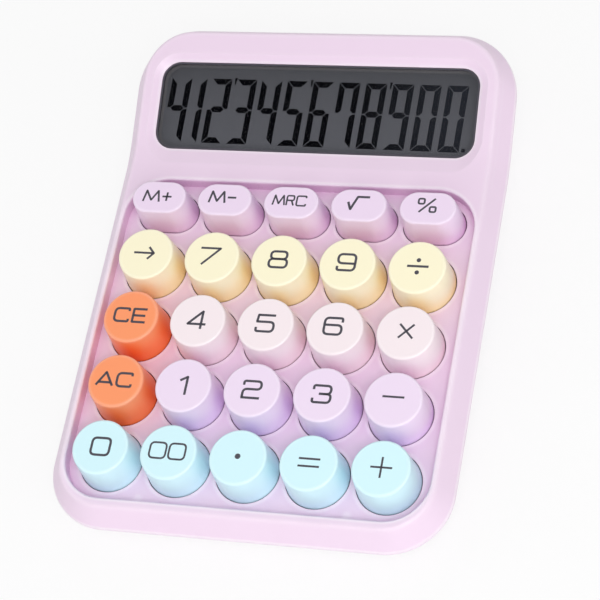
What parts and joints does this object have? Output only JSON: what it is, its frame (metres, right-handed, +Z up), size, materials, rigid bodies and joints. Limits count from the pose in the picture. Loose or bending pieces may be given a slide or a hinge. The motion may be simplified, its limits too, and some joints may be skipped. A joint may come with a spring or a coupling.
{
  "type": "desk calculator",
  "caption": "Desk calculator with large round keys on a sunk deck, a tilted display window, and a rear stand that holds the battery behind a sliding door.",
  "frame": {"origin": "middle of the footprint, at the height of the desk top that the feet rest on", "axes": "+X to the user's right, +Y from the user toward the display, +Z up"},
  "size_m": [0.116, 0.1549, 0.0406],
  "materials": {
    "casing": "satin pastel lilac-pink",
    "clear_pane": "clear polished",
    "display_glass": "grey liquid-crystal glass",
    "key_yellow": "satin pale yellow",
    "key_orange": "satin orange",
    "key_pink": "satin pale pink",
    "key_lilac": "satin lilac",
    "key_blue": "satin pale blue",
    "key_mauve": "satin mauve",
    "foot_rubber": "matt grey-lilac",
    "mat_rubber": "matt off-white",
    "board": "green lacquer",
    "resin": "black resin",
    "screw_steel": "plain",
    "contact_steel": "nickel plated",
    "holder_plastic": "white",
    "ribbon_film": "amber film",
    "cell_wrap": "plain grey wrap",
    "lead_red": "red insulation",
    "lead_black": "black insulation",
    "print_ink": "dark grey print on the keys",
    "crystal_ink": "dark crystal of the displayed digits"
  },
  "bodies": {
    "case": {"top_cover": "casing", "bottom_cover": "casing", "display_window": "clear_pane", "lcd_panel": "display_glass", "lcd_holder": "holder_plastic", "lcd_ribbon": "ribbon_film", "key_mat": "mat_rubber", "key_board": "board", "controller_chip": "resin", "case_screws": "screw_steel", "board_screws": "screw_steel", "holder_screws": "screw_steel", "battery_cell": "cell_wrap", "contact_spring": "contact_steel", "contact_plate": "contact_steel", "lead_positive": "lead_red", "lead_negative": "lead_black", "foot_front_left": "foot_rubber", "foot_front_right": "foot_rubber", "foot_rear_left": "foot_rubber", "foot_rear_right": "foot_rubber"},
    "battery_door": {"battery_door": "casing"},
    "key_0": {"key_0": "key_blue"},
    "key_00": {"key_00": "key_blue"},
    "key_decimal_point": {"key_decimal_point": "key_blue"},
    "key_equals": {"key_equals": "key_blue"},
    "key_add": {"key_add": "key_blue"},
    "key_all_clear": {"key_all_clear": "key_orange"},
    "key_1": {"key_1": "key_lilac"},
    "key_2": {"key_2": "key_lilac"},
    "key_3": {"key_3": "key_lilac"},
    "key_subtract": {"key_subtract": "key_lilac"},
    "key_clear_entry": {"key_clear_entry": "key_orange"},
    "key_4": {"key_4": "key_pink"},
    "key_5": {"key_5": "key_pink"},
    "key_6": {"key_6": "key_pink"},
    "key_multiply": {"key_multiply": "key_pink"},
    "key_backspace": {"key_backspace": "key_yellow"},
    "key_7": {"key_7": "key_yellow"},
    "key_8": {"key_8": "key_yellow"},
    "key_9": {"key_9": "key_yellow"},
    "key_divide": {"key_divide": "key_yellow"},
    "key_memory_plus": {"key_memory_plus": "key_mauve"},
    "key_memory_minus": {"key_memory_minus": "key_mauve"},
    "key_memory_recall": {"key_memory_recall": "key_mauve"},
    "key_square_root": {"key_square_root": "key_mauve"},
    "key_percent": {"key_percent": "key_mauve"}
  },
  "joints": [
    {"name": "key_0_press", "type": "slide", "parent": "case", "child": "key_0", "axis": [0, 0.0872, -0.9962], "range_m": [0, 0.0025], "stiffness_N_per_m": 200, "springref_m": -0.0015, "deforming": ["key_mat"]},
    {"name": "key_00_press", "type": "slide", "parent": "case", "child": "key_00", "axis": [0, 0.0872, -0.9962], "range_m": [0, 0.0025], "stiffness_N_per_m": 200, "springref_m": -0.0015, "deforming": ["key_mat"]},
    {"name": "key_decimal_point_press", "type": "slide", "parent": "case", "child": "key_decimal_point", "axis": [0, 0.0872, -0.9962], "range_m": [0, 0.0025], "stiffness_N_per_m": 200, "springref_m": -0.0015, "deforming": ["key_mat"]},
    {"name": "key_equals_press", "type": "slide", "parent": "case", "child": "key_equals", "axis": [0, 0.0872, -0.9962], "range_m": [0, 0.0025], "stiffness_N_per_m": 200, "springref_m": -0.0015, "deforming": ["key_mat"]},
    {"name": "key_add_press", "type": "slide", "parent": "case", "child": "key_add", "axis": [0, 0.0872, -0.9962], "range_m": [0, 0.0025], "stiffness_N_per_m": 200, "springref_m": -0.0015, "deforming": ["key_mat"]},
    {"name": "key_all_clear_press", "type": "slide", "parent": "case", "child": "key_all_clear", "axis": [0, 0.0872, -0.9962], "range_m": [0, 0.0025], "stiffness_N_per_m": 200, "springref_m": -0.0015, "deforming": ["key_mat"]},
    {"name": "key_1_press", "type": "slide", "parent": "case", "child": "key_1", "axis": [0, 0.0872, -0.9962], "range_m": [0, 0.0025], "stiffness_N_per_m": 200, "springref_m": -0.0015, "deforming": ["key_mat"]},
    {"name": "key_2_press", "type": "slide", "parent": "case", "child": "key_2", "axis": [0, 0.0872, -0.9962], "range_m": [0, 0.0025], "stiffness_N_per_m": 200, "springref_m": -0.0015, "deforming": ["key_mat"]},
    {"name": "key_3_press", "type": "slide", "parent": "case", "child": "key_3", "axis": [0, 0.0872, -0.9962], "range_m": [0, 0.0025], "stiffness_N_per_m": 200, "springref_m": -0.0015, "deforming": ["key_mat"]},
    {"name": "key_subtract_press", "type": "slide", "parent": "case", "child": "key_subtract", "axis": [0, 0.0872, -0.9962], "range_m": [0, 0.0025], "stiffness_N_per_m": 200, "springref_m": -0.0015, "deforming": ["key_mat"]},
    {"name": "key_clear_entry_press", "type": "slide", "parent": "case", "child": "key_clear_entry", "axis": [0, 0.0872, -0.9962], "range_m": [0, 0.0025], "stiffness_N_per_m": 200, "springref_m": -0.0015, "deforming": ["key_mat"]},
    {"name": "key_4_press", "type": "slide", "parent": "case", "child": "key_4", "axis": [0, 0.0872, -0.9962], "range_m": [0, 0.0025], "stiffness_N_per_m": 200, "springref_m": -0.0015, "deforming": ["key_mat"]},
    {"name": "key_5_press", "type": "slide", "parent": "case", "child": "key_5", "axis": [0, 0.0872, -0.9962], "range_m": [0, 0.0025], "stiffness_N_per_m": 200, "springref_m": -0.0015, "deforming": ["key_mat"]},
    {"name": "key_6_press", "type": "slide", "parent": "case", "child": "key_6", "axis": [0, 0.0872, -0.9962], "range_m": [0, 0.0025], "stiffness_N_per_m": 200, "springref_m": -0.0015, "deforming": ["key_mat"]},
    {"name": "key_multiply_press", "type": "slide", "parent": "case", "child": "key_multiply", "axis": [0, 0.0872, -0.9962], "range_m": [0, 0.0025], "stiffness_N_per_m": 200, "springref_m": -0.0015, "deforming": ["key_mat"]},
    {"name": "key_backspace_press", "type": "slide", "parent": "case", "child": "key_backspace", "axis": [0, 0.0872, -0.9962], "range_m": [0, 0.0025], "stiffness_N_per_m": 200, "springref_m": -0.0015, "deforming": ["key_mat"]},
    {"name": "key_7_press", "type": "slide", "parent": "case", "child": "key_7", "axis": [0, 0.0872, -0.9962], "range_m": [0, 0.0025], "stiffness_N_per_m": 200, "springref_m": -0.0015, "deforming": ["key_mat"]},
    {"name": "key_8_press", "type": "slide", "parent": "case", "child": "key_8", "axis": [0, 0.0872, -0.9962], "range_m": [0, 0.0025], "stiffness_N_per_m": 200, "springref_m": -0.0015, "deforming": ["key_mat"]},
    {"name": "key_9_press", "type": "slide", "parent": "case", "child": "key_9", "axis": [0, 0.0872, -0.9962], "range_m": [0, 0.0025], "stiffness_N_per_m": 200, "springref_m": -0.0015, "deforming": ["key_mat"]},
    {"name": "key_divide_press", "type": "slide", "parent": "case", "child": "key_divide", "axis": [0, 0.0872, -0.9962], "range_m": [0, 0.0025], "stiffness_N_per_m": 200, "springref_m": -0.0015, "deforming": ["key_mat"]},
    {"name": "key_memory_plus_press", "type": "slide", "parent": "case", "child": "key_memory_plus", "axis": [0, 0.0872, -0.9962], "range_m": [0, 0.0025], "stiffness_N_per_m": 200, "springref_m": -0.0015, "deforming": ["key_mat"]},
    {"name": "key_memory_minus_press", "type": "slide", "parent": "case", "child": "key_memory_minus", "axis": [0, 0.0872, -0.9962], "range_m": [0, 0.0025], "stiffness_N_per_m": 200, "springref_m": -0.0015, "deforming": ["key_mat"]},
    {"name": "key_memory_recall_press", "type": "slide", "parent": "case", "child": "key_memory_recall", "axis": [0, 0.0872, -0.9962], "range_m": [0, 0.0025], "stiffness_N_per_m": 200, "springref_m": -0.0015, "deforming": ["key_mat"]},
    {"name": "key_square_root_press", "type": "slide", "parent": "case", "child": "key_square_root", "axis": [0, 0.0872, -0.9962], "range_m": [0, 0.0025], "stiffness_N_per_m": 200, "springref_m": -0.0015, "deforming": ["key_mat"]},
    {"name": "key_percent_press", "type": "slide", "parent": "case", "child": "key_percent", "axis": [0, 0.0872, -0.9962], "range_m": [0, 0.0025], "stiffness_N_per_m": 200, "springref_m": -0.0015, "deforming": ["key_mat"]},
    {"name": "battery_door_slide", "type": "slide", "parent": "case", "child": "battery_door", "axis": [0, 1, 0], "range_m": [0, 0.024]}
  ]
}
